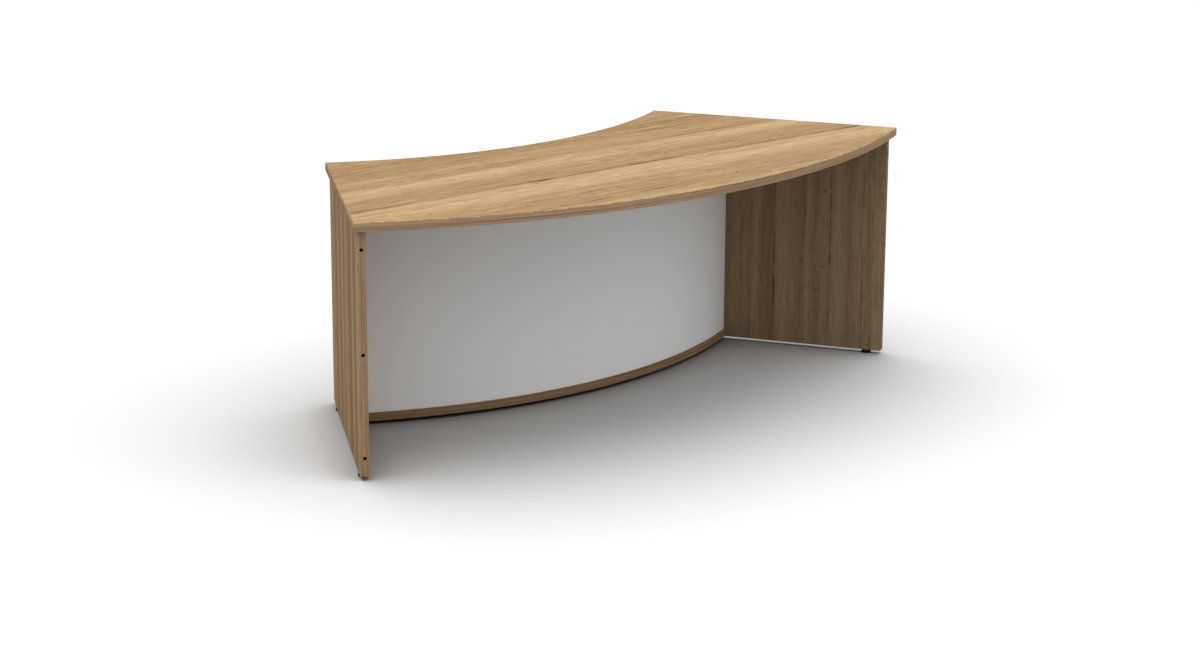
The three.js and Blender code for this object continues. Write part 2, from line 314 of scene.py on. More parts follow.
def newMaterial(name):  # with its tree, its shader and the place on the piece
    material = bpy.data.materials.new(name)
    material.use_nodes = True
    tree = material.node_tree
    return material, tree, tree.nodes["Principled BSDF"], addNode(tree, "TexCoord").outputs["Object"]


# Oak-effect melamine: a printed oak decor under a matt resin skin. The eye gets broad planks of a few close
# tones, drawn-out grain that wavers along them, broken dark joint lines, small knots and painted highlight
# and shade on the front arris.
topTones = {
    "cream": "#bfa17a", "honey": "#b69a74", "straw": "#ac8e69", "tan": "#a38562", "umber": "#997a58",
    "late": "#7f5f3f", "pale": "#c9b088", "joint": "#553b25", "knot": "#452e1d",
}
# The end panels' sets are the same oak as the top's, retoned to the light each face gets; the right panel's
# darker set is painted shade.
leftTones = {
    "honey": "#b99e7b", "straw": "#ae8e6b", "tan": "#9f815d", "umber": "#927352",
    "late": "#7f6040", "pale": "#c3a986", "joint": "#4f3928", "knot": "#412d20",
}
rightShadeTones = {
    "honey": "#a38e72", "straw": "#9b8368", "tan": "#917860", "umber": "#876e56",
    "late": "#72583f", "pale": "#b09b7e", "joint": "#473321", "knot": "#382516",
}


def oakMelamine(name, look):
    material, tree, shader, place = newMaterial(name)
    tones = {tone: linear(colour) for tone, colour in look["tones"].items()}
    along, across = look["along"], look["across"]
    turn = Matrix((along, across, along.cross(across)))  # x along the grain, y across it
    decor = addNode(tree, "Mapping", {
        "Vector": place, "Rotation": turn.to_euler(), "Location": -(turn @ look["origin"]),
    }).outputs[0]

    def figure(source, length, width, detail=2, shift=0, distortion=0):  # cloudy cells, sizes in mm
        cells = addNode(tree, "VectorMath", {
            0: source,
            1: (1 / (length * mm), 1 / (width * mm), 1 / (width * mm)),
            2: (shift, shift, shift),
        }, operation="MULTIPLY_ADD").outputs[0]
        return addNode(tree, "TexNoise", {
            "Vector": cells, "Scale": 1, "Detail": detail, "Roughness": 0.6, "Distortion": distortion,
        }).outputs["Fac"]

    def lay(colour, tone, field, low, high, strength, within=1):  # a tone that grows from low to high
        cover = addNode(tree, "MapRange", {
            "Value": field, "From Min": low, "From Max": high, "To Max": strength,
        }).outputs[0]
        held = addNode(tree, "Math", {0: cover, 1: within}, operation="MULTIPLY").outputs[0]
        return addNode(tree, "Mix", {0: held, 6: colour, 7: tones[tone]}, data_type="RGBA").outputs[2]

    # slow sideways wander of the grain
    wander = addNode(tree, "MapRange", {
        "Value": figure(decor, length=600, width=120),
        "From Min": 0.2, "From Max": 0.8, "To Min": -look["wander"], "To Max": look["wander"],
    }).outputs[0]
    acrossGrain = addNode(tree, "Math", {
        0: addNode(tree, "SeparateXYZ", {0: decor}).outputs["Y"], 1: wander,
    }, operation="ADD").outputs[0]

    # planks, each with its own stretch of grain from a long print
    printLength, printStep = 9, 0.37  # metres, and the share from plank to plank
    low, high = look["planks"][0][0], look["planks"][-1][0]
    share = addNode(tree, "MapRange", {
        "Value": acrossGrain, "From Min": low * mm, "From Max": high * mm,
    }).outputs[0]
    colour = addNode(tree, "ValToRGB", {"Fac": share}, stops=[
        ((edge - low) / (high - low), tones[tone]) for edge, tone in look["planks"]
    ]).outputs["Color"]
    starts = [low] + [edge for edge, width, strength in look["joints"]]
    stretch = addNode(tree, "ValToRGB", {"Fac": share}, stops=[
        ((edge - low) / (high - low), [printStep * index % 1] * 3 + [1]) for index, edge in enumerate(starts)
    ])
    stretch.color_ramp.interpolation = "CONSTANT"
    start = addNode(tree, "Math", {
        0: stretch.outputs["Color"], 1: printLength,
    }, operation="MULTIPLY").outputs[0]
    slide = addNode(tree, "CombineXYZ", {"X": start, "Y": wander}).outputs[0]
    grain = addNode(tree, "VectorMath", {0: decor, 1: slide}, operation="ADD").outputs[0]

    # drawn-out grain, from broad figure to narrow late wood and a few tapering streaks
    for tone, length, width, detail, distortion, low, high, strength in look["grain"]:
        field = figure(grain, length, width, detail, length / width, distortion)
        colour = lay(colour, tone, field, low, high, strength)

    # joint lines, broken along their length and swelling here and there
    broken = addNode(tree, "MapRange", {
        "Value": figure(decor, length=260, width=70),
        "From Min": look["breaks"], "From Max": look["breaks"] + 0.2,
    }).outputs[0]
    swelling = figure(decor, length=50, width=40, detail=3)
    for edge, width, strength in look["joints"]:
        offset = addNode(tree, "Math", {0: acrossGrain, 1: edge * mm}, operation="SUBTRACT").outputs[0]
        distance = addNode(tree, "Math", {0: offset}, operation="ABSOLUTE").outputs[0]
        reach = addNode(tree, "MapRange", {
            "Value": swelling, "From Min": 0.35, "From Max": 0.7,
            "To Min": 0.3 * width * mm, "To Max": 2.8 * width * mm,
        }).outputs[0]
        colour = lay(colour, "joint", distance, reach, 0, strength, broken)

    # small knots, and ticks that lie across the grain, each in a few cells of a leaning grid
    for length, width, chance, size, strength in look["marks"]:
        grid = addNode(tree, "Mapping", {
            "Vector": grain, "Rotation": (0, 0, 0.2), "Scale": (1 / (length * mm), 1 / (width * mm), 1),
        }).outputs[0]
        cells = addNode(tree, "TexVoronoi", {"Vector": grid, "Scale": 1}, voronoi_dimensions="2D")
        draw = addNode(tree, "SeparateColor", {0: cells.outputs["Color"]}).outputs[0]
        drawn = addNode(tree, "MapRange", {
            "Value": draw, "From Min": chance, "From Max": chance - 0.01,
        }).outputs[0]
        colour = lay(colour, "knot", cells.outputs["Distance"], size, size / 4, strength, drawn)

    # front arris: pale flecks of painted highlight in places and dark flecks of painted shade in others
    if "arris" in look:
        arris = look["arris"]
        flat = addNode(tree, "VectorMath", {0: decor, 1: (1, 1, 0)}, operation="MULTIPLY").outputs[0]
        radius = addNode(tree, "VectorMath", {
            0: flat, 1: arris["centre"],
        }, operation="DISTANCE").outputs["Value"]
        paintedBand = addNode(tree, "MapRange", {
            "Value": radius,
            "From Min": arris["radius"] - arris["reach"], "From Max": arris["radius"] - arris["reach"] / 3,
        }).outputs[0]
        paintedFlecks = figure(decor, length=15, width=5, detail=3)
        for tone, low, high, strength in arris["wear"]:
            colour = lay(colour, tone, paintedFlecks, low, high, strength, paintedBand)

    # pores: short and fine, drawn coarser than life so that they show
    pores = figure(grain, length=24, width=1.2)
    colour = lay(colour, "late", pores, 0.55, 0.75, 0.3)
    setInputs(tree, shader, {
        "Base Color": colour,
        "Roughness": addNode(tree, "MapRange", {"Value": pores, "To Min": 0.82, "To Max": 0.95}).outputs[0],
        "Normal": addNode(tree, "Bump", {
            "Height": pores, "Strength": 0.25, "Distance": 0.12 * mm,
        }).outputs[0],
        "IOR": 1.5,
        "Specular IOR Level": 0.02,
    })
    return material


# A look's tables are in millimetres. Planks: edge, tone. Joints: place, width, strength. Grain: tone, length,
# width, detail, distortion, from, to, strength. Marks: cell's length and width, chance, size in it, strength.
topLook = {
    "tones": topTones,
    "along": sideways,
    "across": backward,
    "origin": Vector((0, 0, 0)),
    "wander": 7 * mm,
    "breaks": 0.42,
    # the front arris's pale and dark flecks are painted highlight and painted shade
    "arris": {
        "centre": fanCentre,
        "radius": frontRadius,
        "reach": 16 * mm,
        "wear": (("pale", 0.5, 0.36, 0.6), ("knot", 0.6, 0.67, 0.85)),
    },
    "planks": (
        (-500, "honey"), (-424, "straw"), (-404, "tan"), (-340, "tan"), (-260, "straw"), (-236, "honey"),
        (-205, "cream"), (-180, "cream"), (-150, "honey"), (-120, "honey"), (-108, "umber"), (-90, "tan"),
        (-15, "tan"), (15, "straw"), (45, "honey"), (64, "cream"), (86, "cream"), (114, "straw"),
        (136, "tan"), (186, "straw"), (230, "tan"), (340, "umber"), (400, "tan"), (460, "straw"),
        (520, "tan"),
    ),
    "joints": ((-398, 4.5, 0.8), (-106, 5.5, 1), (131, 4, 0.6), (258, 4, 0.5)),
    "grain": (
        ("late", 420, 22, 4, 0.2, 0.5, 0.74, 0.5),
        ("pale", 360, 26, 4, 0.2, 0.52, 0.74, 0.5),
        ("late", 80, 26, 4, 0.4, 0.5, 0.75, 0.45),
        ("pale", 40, 14, 3, 0.3, 0.5, 0.75, 0.35),
        ("late", 130, 9, 3, 0.1, 0.52, 0.74, 0.4),
        ("joint", 320, 9, 3, 0.1, 0.63, 0.76, 0.55),
        ("late", 180, 4.5, 3, 0, 0.52, 0.74, 0.3),
    ),
    "marks": ((150, 75, 0.12, 0.07, 0.6), (25, 75, 0.06, 0.14, 0.55)),
}


def panelLook(side, tones, planks, joints):
    place = endPlace(side)
    return {
        "tones": tones,
        "along": upright,
        "across": place.to_3x3() @ backward,
        "origin": place @ endPoint(side, 0, 0, 0),
        "wander": 4 * mm,
        "breaks": 0.36,
        "planks": planks,
        "joints": joints,
        "grain": (
            ("late", 420, 16, 4, 0.2, 0.5, 0.74, 0.4),
            ("pale", 360, 20, 4, 0.2, 0.52, 0.74, 0.4),
            ("late", 90, 18, 4, 0.5, 0.52, 0.75, 0.3),
            ("joint", 240, 6, 3, 0.1, 0.6, 0.76, 0.55),
            ("late", 110, 4, 4, 0.2, 0.5, 0.72, 0.45),
            ("pale", 90, 4, 4, 0.2, 0.52, 0.74, 0.35),
            ("late", 30, 7, 4, 0.4, 0.5, 0.75, 0.35),
        ),
        "marks": ((80, 130, 0.2, 0.075, 0.42), (60, 30, 0.03, 0.09, 0.4)),
    }


rightLook = panelLook(1, rightShadeTones, (
    (0, "honey"), (48, "honey"), (60, "straw"), (104, "straw"), (132, "tan"), (165, "honey"), (192, "straw"),
    (212, "straw"), (230, "tan"), (246, "tan"), (265, "honey"), (290, "tan"), (326, "straw"), (354, "honey"),
    (374, "straw"), (382, "umber"), (396, "umber"), (420, "tan"), (440, "honey"), (462, "tan"),
    (505, "straw"), (535, "tan"), (600, "straw"), (660, "honey"), (720, "tan"), (800, "straw"),
), (
    (57, 2, 0.5), (90, 2, 0.5), (196, 2.5, 0.6), (281, 2, 0.6),
    (378, 2.5, 0.9), (455, 2, 0.6), (488, 2, 0.5), (640, 2, 0.6),
))

leftLook = panelLook(-1, leftTones, (
    (0, "honey"), (45, "honey"), (112, "umber"), (170, "honey"), (218, "umber"), (275, "tan"), (340, "honey"),
    (392, "umber"), (440, "honey"), (508, "umber"), (560, "honey"), (612, "umber"), (670, "straw"),
    (700, "straw"), (745, "honey"), (800, "straw"),
), (
    (96, 2, 0.6), (205, 2.5, 0.7), (305, 2, 0.7), (404, 2.5, 0.6), (520, 2.5, 0.8), (625, 2, 0.6),
))


# Printed ABS edging: an extruded strip with an oak print, so fine lines that run its whole length, and on the
# desktop's long edges an upper arris with painted highlights and painted shade
edgingTones = {"ground": "#aa8c6d", "dark": "#7c6045", "pale": "#c6ab87"}
# the right panel's and the rails' edging tones are the desktop's, darkened as painted shade
innerEdgingShadeTones = {"ground": "#93795d", "dark": "#6a523a", "pale": "#ad9675"}
railShadeTones = {"ground": "#8f765b", "dark": "#664f39", "pale": "#a98f6f"}


def absEdging(name, tones, along, across, arris=None):  # arris: height of the upper corner that gets painted highlight and shade
    material, tree, shader, place = newMaterial(name)
    turn = Matrix((along, across, along.cross(across)))
    strip = addNode(tree, "Mapping", {"Vector": place, "Rotation": turn.to_euler()}).outputs[0]
    colour = linear(tones["ground"])
    for width, length, low, high, tone, share in (
        (4.2 * mm, 700 * mm, 0.5, 0.62, "dark", 0.6),
        (4.8 * mm, 900 * mm, 0.5, 0.38, "pale", 0.5),
        (4 * mm, 50 * mm, 0.52, 0.75, "dark", 0.5),  # flecks
        (1.2 * mm, 120 * mm, 0.52, 0.75, "dark", 0.4),  # the finest lines, which also give gloss and relief
    ):
        lines = addNode(tree, "TexNoise", {
            "Vector": addNode(tree, "VectorMath", {
                0: strip, 1: (1 / length, 1 / width, 1 / length),
            }, operation="MULTIPLY").outputs[0],
            "Scale": 1, "Detail": 3, "Roughness": 0.6,
        }).outputs["Fac"]
        factor = addNode(tree, "MapRange", {
            "Value": lines, "From Min": low, "From Max": high, "To Max": share,
        }).outputs[0]
        colour = addNode(tree, "Mix", {
            0: factor, 6: colour, 7: linear(tones[tone]),
        }, data_type="RGBA").outputs[2]
    if arris:
        # painted highlight and painted shade along the upper arris, in pale and dark flecks
        paintedFlecks = addNode(tree, "TexNoise", {
            "Vector": strip, "Scale": 1 / (18 * mm), "Detail": 3,
        }).outputs["Fac"]
        reach = addNode(tree, "MapRange", {
            "Value": paintedFlecks, "From Min": 0.35, "From Max": 0.65, "To Min": 0.5 * mm, "To Max": 4.5 * mm,
        }).outputs[0]
        height = addNode(tree, "SeparateXYZ", {0: strip}).outputs["Y"]
        depth = addNode(tree, "Math", {0: arris, 1: height}, operation="SUBTRACT").outputs[0]
        paintedShare = addNode(tree, "MapRange", {
            "Value": depth, "From Min": reach, "From Max": 0, "To Max": 0.8,
        }).outputs[0]
        tone = addNode(tree, "ValToRGB", {"Fac": paintedFlecks}, stops=[
            (0.4, linear(tones["dark"])), (0.5, linear(tones["ground"])), (0.62, linear(tones["pale"])),
        ]).outputs["Color"]
        colour = addNode(tree, "Mix", {0: paintedShare, 6: colour, 7: tone}, data_type="RGBA").outputs[2]
    setInputs(tree, shader, {
        "Base Color": colour,
        "Roughness": addNode(tree, "MapRange", {"Value": lines, "To Min": 0.82, "To Max": 0.95}).outputs[0],
        "Normal": addNode(tree, "Bump", {"Height": lines, "Strength": 0.2, "Distance": 0.1 * mm}).outputs[0],
        "IOR": 1.52,
        "Specular IOR Level": 0.02,
    })
    return material


# White laminate: pressed paper and resin, matt, with a very fine pearl that softens reflections
def whiteLaminate():
    material, tree, shader, place = newMaterial("white_laminate")
    pearl = addNode(tree, "TexNoise", {"Vector": place, "Scale": 1 / (1.6 * mm), "Detail": 2}).outputs["Fac"]
    cloud = addNode(tree, "TexNoise", {"Vector": place, "Scale": 1 / (180 * mm), "Detail": 3}).outputs["Fac"]
    setInputs(tree, shader, {
        "Base Color": addNode(tree, "Mix", {
            0: cloud, 6: linear("#f5f6f6"), 7: linear("#f9fafa"),
        }, data_type="RGBA").outputs[2],
        "Roughness": addNode(tree, "MapRange", {"Value": pearl, "To Min": 0.44, "To Max": 0.56}).outputs[0],
        "Normal": addNode(tree, "Bump", {
            "Height": pearl, "Strength": 0.12, "Distance": 0.05 * mm,
        }).outputs[0],
        "IOR": 1.48,
    })
    return material


# Black nylon: moulded with a fine spark finish, so it is dull with soft grey highlights
def blackNylon():
    material, tree, shader, place = newMaterial("black_nylon")
    spark = addNode(tree, "TexNoise", {"Vector": place, "Scale": 1 / (0.5 * mm), "Detail": 3}).outputs["Fac"]
    setInputs(tree, shader, {
        "Base Color": addNode(tree, "Mix", {
            0: spark, 6: linear("#030302"), 7: linear("#0b0a09"),
        }, data_type="RGBA").outputs[2],
        "Roughness": addNode(tree, "MapRange", {"Value": spark, "To Min": 0.45, "To Max": 0.65}).outputs[0],
        "Normal": addNode(tree, "Bump", {"Height": spark, "Strength": 0.3, "Distance": 0.08 * mm}).outputs[0],
        "IOR": 1.53,
        "Specular IOR Level": 0.15,
    })
    return material


# Zinc plate: bright plating on pressed and turned steel, with a faint spangle and a cool passivated tint
def zincPlate():
    material, tree, shader, place = newMaterial("zinc_plate")
    spangle = addNode(tree, "TexVoronoi", {"Vector": place, "Scale": 1 / (1.8 * mm)}).outputs["Color"]
    level = addNode(tree, "SeparateColor", {0: spangle}).outputs[0]
    scratch = addNode(tree, "TexNoise", {
        "Vector": place, "Scale": 1 / (0.7 * mm), "Detail": 4,
    }).outputs["Fac"]
    setInputs(tree, shader, {
        "Base Color": addNode(tree, "Mix", {
            0: level, 6: linear("#b4b7ba"), 7: linear("#cfd1d2"),
        }, data_type="RGBA").outputs[2],
        "Roughness": addNode(tree, "MapRange", {"Value": level, "To Min": 0.28, "To Max": 0.42}).outputs[0],
        "Normal": addNode(tree, "Bump", {
            "Height": scratch, "Strength": 0.15, "Distance": 0.03 * mm,
        }).outputs[0],
        "Metallic": 1,
    })
    return material


# Beech: plain turned hardwood, pale pink-brown with short darker flecks
def beechWood():
    material, tree, shader, place = newMaterial("beech")
    fleck = addNode(tree, "TexNoise", {"Vector": place, "Scale": 1 / (1.5 * mm), "Detail": 3}).outputs["Fac"]
    share = addNode(tree, "MapRange", {"Value": fleck, "From Min": 0.5, "From Max": 0.7}).outputs[0]
    setInputs(tree, shader, {
        "Base Color": addNode(tree, "Mix", {
            0: share, 6: linear("#d9b98b"), 7: linear("#b88f60"),
        }, data_type="RGBA").outputs[2],
        "Roughness": 0.68,
        "Normal": addNode(tree, "Bump", {"Height": fleck, "Strength": 0.3, "Distance": 0.1 * mm}).outputs[0],
    })
    return material


endAcross = {name: endPlace(side).to_3x3() @ sideways for name, side in sides.items()}
finishes = {
    "top": oakMelamine("oak_melamine_top", topLook),
    "left": oakMelamine("oak_melamine_left", leftLook),
    "right": oakMelamine("oak_melamine_right", rightLook),
    "edging": absEdging("abs_edging_desktop", edgingTones, sideways, upright, topFace),
    "endEdging": absEdging("abs_edging_desktop_ends", edgingTones, sideways, upright),
    "railEdging": absEdging("abs_edging_rails", railShadeTones, sideways, upright),
    "leftEdging": absEdging("abs_edging_left", edgingTones, upright, endAcross["left"]),
    "rightEdging": absEdging("abs_edging_right", innerEdgingShadeTones, upright, endAcross["right"]),
    "white": whiteLaminate(),
    "nylon": blackNylon(),
    "zinc": zincPlate(),
    "beech": beechWood(),
}
print("materials made:", len(finishes))


# Fixings and feet: each is modelled once about its own axis, then copied to its places

clearance = {"bore": 0.3 * mm, "bolt": 1 * mm, "thread": 0.2 * mm}
overcut = 1 * mm  # cutters past an open face


def crossSlots(fitting, start, stop, first, second):  # two cutters, their arms along first and second
    width, length = fitting["crossWidth"] / 2, fitting["crossLength"] / 2
    reaches = first * width + second * length, first * length + second * width
    return [blockBetween(start - reach, stop + reach) for reach in reaches]


# Threaded sleeves in the end panels' front edges, black moulded nylon
sleeve = {
    "radius": 5 * mm,
    "length": 16 * mm,
    "recess": 0.5 * mm,  # below the edging's face
    "inset": 54 * mm,  # top and bottom sleeves from the panel's ends
    "lead": 0.6 * mm,  # countersink at the mouth
    "thread": {"crest": 3 * mm, "root": 2.5 * mm, "pitch": 1 * mm},
}
sleeveHeights = {
    "bottom": desk["floorGap"] + sleeve["inset"],
    "middle": (desk["floorGap"] + underTop) / 2,
    "top": underTop - sleeve["inset"],
}


def sleevePlace(side, height):
    mouth = endPoint(side, panelMiddle, desk["frontSetback"] + sleeve["recess"], height)
    return endPlace(side) @ Matrix.Translation(mouth) @ Matrix.Rotation(-math.pi / 2, 4, "X")


model = turnedPiece((
    (0, sleeve["lead"]), (sleeve["thread"]["root"], sleeve["lead"]),
    (sleeve["thread"]["crest"] + sleeve["lead"], 0), (sleeve["radius"], 0),
    (sleeve["radius"], sleeve["length"]), (0, sleeve["length"]),
))
combine(model, [threadedRod(sleeve["thread"], -overcut, sleeve["length"] + overcut)], "DIFFERENCE")
placeCopies(model, "nylon", {
    f"{name}_sleeve_{which}": sleevePlace(side, height)
    for name, side in sides.items() for which, height in sleeveHeights.items()
})
print("sleeves made")

# Levelling feet: swivelling pad, stud with a hexagon collar, barbed insert
foot = {
    "frontInset": 50 * mm,  # from the panel's front edge
    "rearInset": 78 * mm,  # from the panel's rear edge
    "travel": 10 * mm,
    "pad": 15 * mm,
    "padTop": 12 * mm,
    "padHeight": 8 * mm,
    "padEdge": 1.5 * mm,
    "padShoulder": 2 * mm,
    "padRound": 0.4 * mm,
    "sole": 2 * mm,
    "dish": 0.6 * mm,  # hollow under the sole
    "swivel": 0.3 * mm,
    "flange": 7 * mm,
    "flangeHeight": 3 * mm,
    "flangeRound": 0.3 * mm,
    "collarFlats": 13 * mm,
    "collarHeight": 2.4 * mm,
    "collarChamfer": 0.5 * mm,
    "insert": 6 * mm,
    "insertLength": 25 * mm,
    "barbs": 5,
    "barbDepth": 0.5 * mm,
    "thread": {"crest": 4 * mm, "root": 3.35 * mm, "pitch": 1.25 * mm},
    "facets": 48,
}
footBacks = {"front": desk["frontSetback"] + foot["frontInset"], "rear": panelRear - foot["rearInset"]}
footPlaces = {
    f"{name}_{which}_foot_": endPlace(side) @ Matrix.Translation(endPoint(side, panelMiddle, back, 0))
    for name, side in sides.items() for which, back in footBacks.items()
}
flangeBottom = foot["sole"] + foot["swivel"]
flangeTop = flangeBottom + foot["flangeHeight"]
chamberTop = flangeTop + foot["swivel"]
collarBottom = foot["padHeight"] + foot["swivel"]
collarTop = collarBottom + foot["collarHeight"]
insertTop = desk["floorGap"] + foot["insertLength"]
studTop = insertTop + foot["travel"]
studMouth = foot["thread"]["crest"] + foot["swivel"]

model = turnedPiece((
    (0, foot["dish"]), (foot["padTop"] - foot["dish"], foot["dish"]), (foot["padTop"], 0),
    (foot["pad"] - foot["padEdge"], 0), (foot["pad"], foot["padEdge"]),
    (foot["pad"], foot["padHeight"] - foot["padShoulder"]), (foot["padTop"], foot["padHeight"]),
    (studMouth, foot["padHeight"]), (studMouth, chamberTop), (foot["flange"] + foot["swivel"], chamberTop),
    (foot["flange"] + foot["swivel"], foot["sole"]), (0, foot["sole"]),
), foot["facets"])
roundEdges(model, foot["padRound"])
placeCopies(model, "nylon", footPlaces, "pad")

neck = foot["thread"]["root"]
flange = turnedPiece((
    (0, flangeBottom), (foot["flange"], flangeBottom), (foot["flange"], flangeTop), (neck, flangeTop),
    (neck, collarTop), (0, collarTop),
))
roundEdges(flange, foot["flangeRound"])
hexagon = 6
collarRadius = foot["collarFlats"] / 2 / math.cos(math.pi / hexagon)
collar = rodBetween(onAxis(0, collarBottom), onAxis(0, collarTop), collarRadius, hexagon)
roundEdges(collar, foot["collarChamfer"])
model = threadedRod(foot["thread"], collarTop - foot["thread"]["pitch"], studTop)
combine(model, [flange, collar], "UNION")
placeCopies(model, "zinc", footPlaces, "stud")

barb = foot["insertLength"] / foot["barbs"]
profile = [(0, desk["floorGap"])]
for index in range(foot["barbs"]):
    low = desk["floorGap"] + index * barb
    profile += [
        (foot["insert"], low), (foot["insert"], low + barb / 3),
        (foot["insert"] - foot["barbDepth"], low + barb),
    ]
model = turnedPiece(profile + [(0, insertTop)])
tapped = {
    "crest": foot["thread"]["crest"] + clearance["thread"],
    "root": foot["thread"]["root"] + clearance["thread"],
    "pitch": foot["thread"]["pitch"],
}
combine(model, [threadedRod(tapped, collarTop - tapped["pitch"], insertTop + overcut)], "DIFFERENCE")
placeCopies(model, "zinc", footPlaces, "insert")
print("feet made")

# Cam fittings, in their own frame: joint at z = 0, cam along +Z from it, bolt's thread along -Z, cam's
# face towards +X
cam = {
    "radius": 7.5 * mm,
    "facets": 40,
    "distance": 34 * mm,  # joint to the cam's axis
    "floor": 5.5 * mm,  # cam past the bolt's axis
    "rim": 0.5 * mm,
    "crossWidth": 1.6 * mm,
    "crossLength": 8 * mm,
    "crossDepth": 1.5 * mm,
    "bolt": 3 * mm,
    "boltNeck": 2.2 * mm,
    "boltHead": 3.5 * mm,
    "boltHeadHeight": 3 * mm,
    "boltRound": 0.3 * mm,
    "boltThread": 11 * mm,
    "thread": {"crest": 3 * mm, "root": 2.2 * mm, "pitch": 2 * mm},
    "desktopBacks": {"front": 150 * mm, "rear": 650 * mm},  # from the desktop's front corner
    "railSetback": 60 * mm,  # from the rail's front edge
}
camFace = desk["board"] / 2
boltTip = cam["distance"] + cam["boltHeadHeight"] / 2
railHeights = {name: sum(corner.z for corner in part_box(name)) / 2 for name in ("base_rail", "top_rail")}
railBack = screen["setback"] - screen["ledge"]  # rail's front edge behind the desktop's


def fittingPlace(side, origin, bolt, face):
    frameTurn = Matrix((face, bolt.cross(face), bolt)).transposed().to_4x4()
    return endPlace(side) @ Matrix.Translation(origin) @ frameTurn


fittingPlaces = {}
for name, side in sides.items():
    inward = Vector((-side, 0, 0))
    for which, back in cam["desktopBacks"].items():
        origin = endPoint(side, panelMiddle, back, underTop)
        fittingPlaces[f"{name}_{which}_desktop_"] = fittingPlace(side, origin, -upright, inward)
    for rail, height in railHeights.items():
        origin = endPoint(side, panelInner, railBack + cam["railSetback"], height)
        fittingPlaces[f"{name}_{rail}_"] = fittingPlace(side, origin, inward, -upright)


def onCam(x):
    return onAxis(x, cam["distance"])


model = rodBetween(onCam(-cam["floor"]), onCam(camFace), cam["radius"], cam["facets"])
roundEdges(model, cam["rim"])
headSlot = rodBetween(
    onAxis(0, 0), onAxis(0, boltTip + clearance["bore"]), cam["boltHead"] + clearance["bore"],
)
cross = crossSlots(cam, onCam(camFace - cam["crossDepth"]), onCam(camFace + overcut), backward, upright)
combine(model, [headSlot] + cross, "DIFFERENCE")
placeCopies(model, "zinc", fittingPlaces, "cam")

headStart = boltTip - cam["boltHeadHeight"]
neckStart = headStart - cam["boltHeadHeight"]
model = turnedPiece((
    (0, -cam["thread"]["pitch"]), (cam["boltNeck"], -cam["thread"]["pitch"]), (cam["bolt"], 0),
    (cam["bolt"], neckStart), (cam["boltNeck"], neckStart), (cam["boltNeck"], headStart),
    (cam["boltHead"], headStart), (cam["boltHead"], boltTip), (0, boltTip),
))
roundEdges(model, cam["boltRound"])
combine(model, [threadedRod(cam["thread"], -cam["boltThread"], -cam["thread"]["pitch"] / 2)], "UNION")
placeCopies(model, "zinc", fittingPlaces, "cam_bolt")
print("cam fittings made")

# Fluted beech dowels between the end panels and the rails
dowel = {
    "radius": 4 * mm, "inPanel": 10 * mm, "inRail": 25 * mm, "chamfer": 1 * mm, "setback": 30 * mm,
    "facets": 24, "fluteDepth": 0.35 * mm, "fluteLand": 0.15 * mm,
}


def dowelPoint(side, inset, rail):
    return endPoint(side, inset, railBack + dowel["setback"], railHeights[rail])


def onFlute(face):  # every other long side
    centre = face.calc_center_median()
    turn = math.atan2(centre.y, centre.x) / (2 * math.pi) * dowel["facets"]
    return abs(face.normal.z) < 0.1 and math.floor(turn) % 2 == 0


model = turnedPiece((
    (0, -dowel["inPanel"]), (dowel["radius"] - dowel["chamfer"], -dowel["inPanel"]),
    (dowel["radius"], dowel["chamfer"] - dowel["inPanel"]),
    (dowel["radius"], dowel["inRail"] - dowel["chamfer"]),
    (dowel["radius"] - dowel["chamfer"], dowel["inRail"]), (0, dowel["inRail"]),
), dowel["facets"])
bpy.ops.object.mode_set(mode="EDIT")
pick("FACE", onFlute)
bpy.ops.mesh.inset(thickness=dowel["fluteLand"], depth=-dowel["fluteDepth"], use_individual=True)
closeUp()
placeCopies(model, "beech", {
    f"{name}_{rail}_dowel": endPlace(side) @ Matrix.Translation(dowelPoint(side, panelInner, rail))
    @ Matrix.Rotation(-side * math.pi / 2, 4, "Y")
    for name, side in sides.items() for rail in railHeights
})
print("dowels made")

# Countersunk screws up through the top rail
screw = {
    "radius": 2 * mm, "length": 40 * mm, "head": 4 * mm, "headHeight": 3 * mm, "point": 6 * mm,
    "plain": 12 * mm,  # unthreaded under the head
    "crossWidth": 1.2 * mm, "crossLength": 4.4 * mm, "crossDepth": 1.6 * mm,
    "thread": {"crest": 2 * mm, "root": 1.4 * mm, "pitch": 1.8 * mm},
    "angles": {"left": math.radians(-20), "middle": 0, "right": math.radians(20)},
}
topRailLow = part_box("top_rail")[0].z
screwPlaces = {
    f"top_rail_screw_{name}": Matrix.Translation(fanPoint(angle, railOuter - cam["railSetback"], topRailLow))
    for name, angle in screw["angles"].items()
}


def screwShape(shank, grown):  # grown: extra all round, for its hole
    return turnedPiece((
        (0, -grown), (screw["head"] + grown, -grown), (shank + grown, screw["headHeight"]),
        (shank + grown, screw["length"] - screw["point"]), (0, screw["length"] + grown),
    ))


model = screwShape(screw["thread"]["root"] - clearance["thread"], 0)
combine(model, crossSlots(
    screw, onAxis(0, -overcut), onAxis(0, screw["crossDepth"]), sideways, backward,
), "DIFFERENCE")
combine(model, [threadedRod(screw["thread"], screw["plain"], screw["length"] - screw["point"])], "UNION")
placeCopies(model, "zinc", screwPlaces)
print("screws made")


# Holes in the boards, as cutters in place

def clampedHoles(place):  # for a cam and its bolt's shank
    camHole = rodBetween(
        onCam(-cam["floor"] - clearance["bore"]), onCam(camFace + overcut), cam["radius"] + clearance["bore"],
    )
    shankHole = rodBetween(onAxis(0, -overcut), onCam(0), cam["bolt"] + clearance["bolt"])
    return [placed(camHole, place), placed(shankHole, place)]


def threadHole(place):  # for a bolt's thread
    bottom = onAxis(0, -cam["boltThread"] - clearance["thread"])
    return placed(rodBetween(bottom, onAxis(0, overcut), cam["bolt"] + clearance["thread"]), place)


